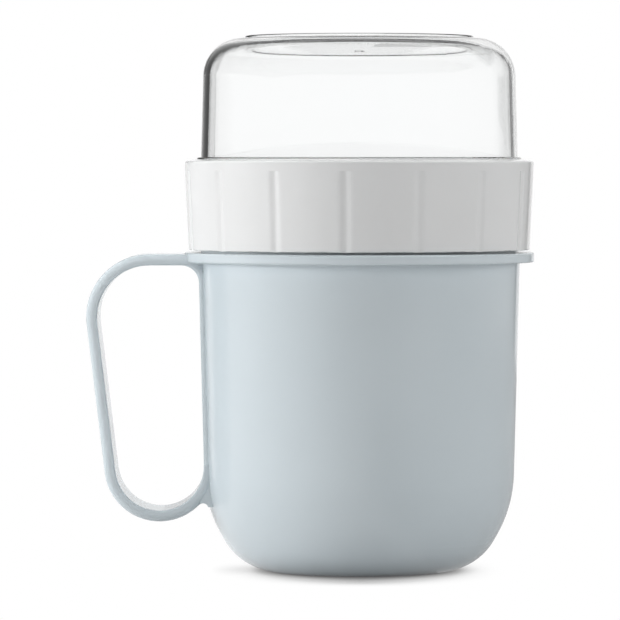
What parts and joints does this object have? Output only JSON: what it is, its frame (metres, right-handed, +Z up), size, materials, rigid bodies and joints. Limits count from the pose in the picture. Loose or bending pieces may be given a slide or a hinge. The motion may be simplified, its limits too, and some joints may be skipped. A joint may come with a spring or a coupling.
{
  "type": "muesli cup",
  "caption": "Lidded muesli cup: handled mug closed by a fluted screw collar that carries a clear upturned bowl, keeping cereal apart from yoghurt or milk.",
  "frame": {"origin": "centre of the mug's flat base, on the cup's axis", "axes": "+Z up along the cup's axis, handle towards -X, front of the picture towards -Y"},
  "size_m": [0.1279, 0.1002, 0.1531],
  "materials": {
    "mug_plastic": "satin pale blue moulding",
    "collar_plastic": "satin off-white moulding",
    "clear_plastic": "clear polished moulding",
    "silicone": "matt translucent silicone"
  },
  "bodies": {
    "mug": {"mug": "mug_plastic"},
    "mug_seal": {"mug_seal": "silicone"},
    "collar": {"collar": "collar_plastic"},
    "dome_seal": {"dome_seal": "silicone"},
    "dome": {"dome": "clear_plastic"}
  },
  "joints": [
    {"name": "collar_lift", "type": "slide", "parent": "mug", "child": "mug_seal", "axis": [0, 0, 1], "range_m": [0, 0.024]},
    {"name": "collar_turn", "type": "hinge", "parent": "mug_seal", "child": "collar", "pos_m": [0, 0, 0.1045], "axis": [0, 0, 1], "range_deg": [0, 720]},
    {"name": "dome_lift", "type": "slide", "parent": "collar", "child": "dome_seal", "axis": [0, 0, 1], "range_m": [0, 0.018]},
    {"name": "dome_turn", "type": "hinge", "parent": "dome_seal", "child": "dome", "pos_m": [0, 0, 0.1093], "axis": [0, 0, 1], "range_deg": [0, 540]}
  ],
  "couplings": [
    {"joint": "collar_lift", "follows": "collar_turn", "m_per_rad": 0.0019099},
    {"joint": "dome_lift", "follows": "dome_turn", "m_per_rad": 0.0019099}
  ]
}
